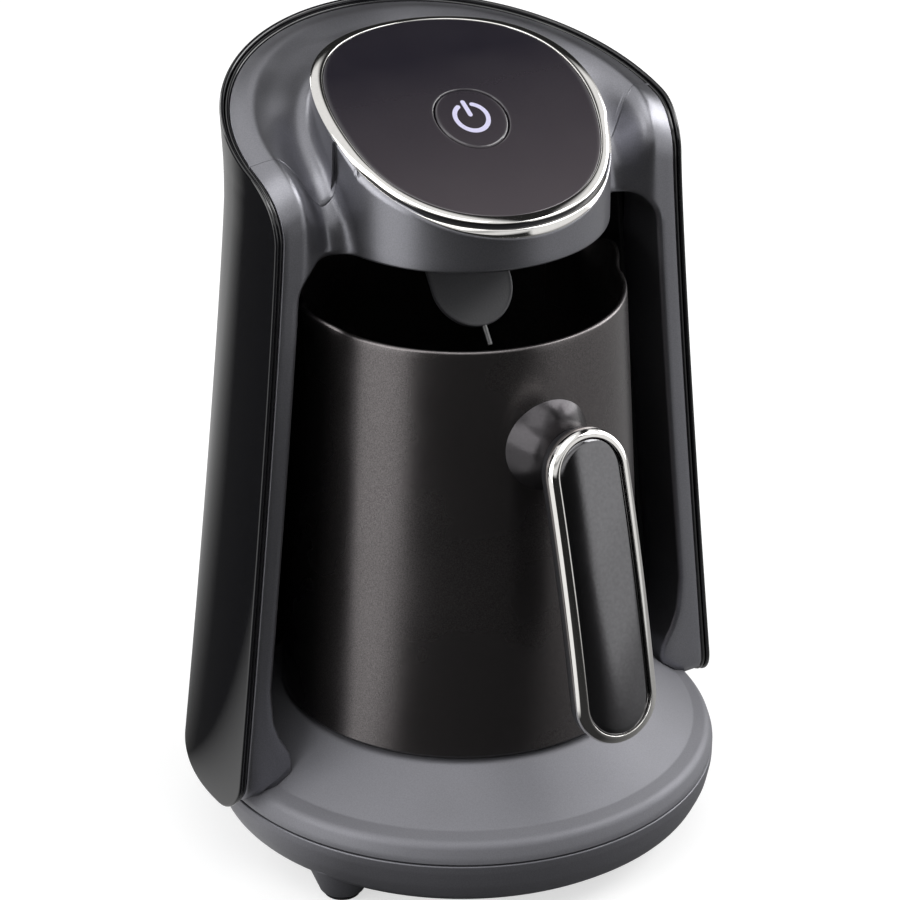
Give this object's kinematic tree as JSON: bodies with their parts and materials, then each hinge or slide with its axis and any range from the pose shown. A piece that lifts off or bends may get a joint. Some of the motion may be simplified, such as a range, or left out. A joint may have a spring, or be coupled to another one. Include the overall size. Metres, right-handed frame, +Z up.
{
  "type": "electric turkish coffee maker",
  "caption": "Round base with a waisted C-shaped body, a cantilevered head with a push button and a removable charcoal pot with a front handle.",
  "frame": {"origin": "where the round base's upright axis meets the table under the feet", "axes": "+Z up, -Y towards the handle and the user, +X to the user's right"},
  "size_m": [0.1778, 0.1852, 0.2539],
  "materials": {
    "grey_satin": "satin",
    "base_grey": "satin",
    "pan_grey": "satin",
    "shell_black": "polished",
    "liner_black": "fine grained",
    "chrome": "polished",
    "panel_gloss": "polished",
    "symbol_white": "translucent white",
    "rubber_black": "matt",
    "silicone_grey": "matt",
    "steel": "brushed",
    "zinc": "zinc plated",
    "aluminium": "cast",
    "brass": "nickel free",
    "board_green": "solder mask",
    "relay_blue": "moulded",
    "capacitor_brown": "sleeved",
    "core_yellow": "taped",
    "terminal_white": "moulded",
    "ceramic_white": "glazed",
    "wire_red": "sleeved",
    "moulded_black": "satin",
    "pot_charcoal": "fine metallic non-stick",
    "insert_black": "polished"
  },
  "bodies": {
    "machine": {"base_pan": "pan_grey", "base_cover": "base_grey", "foot_pads": "rubber_black", "base_screws": "zinc", "cord_gland": "rubber_black", "power_board": "board_green", "board_relay": "relay_blue", "board_capacitor": "capacitor_brown", "board_transformer": "core_yellow", "terminal_block": "terminal_white", "column_frame": "grey_satin", "frame_screws": "zinc", "rear_shell": "shell_black", "shell_screws": "zinc", "chamber_liner": "liner_black", "chamber_ceiling": "liner_black", "top_cover": "grey_satin", "wiring_harness": "wire_red", "head_housing": "grey_satin", "head_underside": "liner_black", "head_screws": "zinc", "front_trim": "chrome", "panel_ring": "chrome", "top_panel": "panel_gloss", "button_spring": "steel", "button_holder": "moulded_black", "control_board": "board_green", "board_screws": "zinc", "tact_switch": "moulded_black", "indicator_led": "terminal_white", "buzzer": "moulded_black", "sensor_tongue": "silicone_grey", "sensor_probe": "steel", "sensor_mount": "moulded_black", "sensor_board": "board_green", "power_socket": "moulded_black", "power_pins": "brass"},
    "pot": {"pot_body": "pot_charcoal", "pot_base": "moulded_black", "pot_screws": "zinc", "heater_plate": "aluminium", "heating_element": "steel", "thermostat": "ceramic_white", "thermal_fuse": "ceramic_white", "pot_inlet": "moulded_black", "pot_wires": "wire_red", "pot_stud": "steel", "handle_neck": "moulded_black", "handle_core": "moulded_black", "handle_band": "chrome", "handle_frame": "chrome", "handle_insert": "insert_black", "handle_screw": "zinc"},
    "power_button": {"button_cap": "panel_gloss", "button_symbol": "symbol_white"}
  },
  "joints": [
    {"name": "pot_slide", "type": "slide", "parent": "machine", "child": "pot", "axis": [0, -1, 0], "range_m": [0, 0.18], "deforming": ["sensor_tongue", "sensor_probe"]},
    {"name": "button_press", "type": "slide", "parent": "machine", "child": "power_button", "axis": [0, 0.499, -0.8666], "range_m": [0, 0.0006], "stiffness_N_per_m": 600, "deforming": ["button_spring"]}
  ]
}
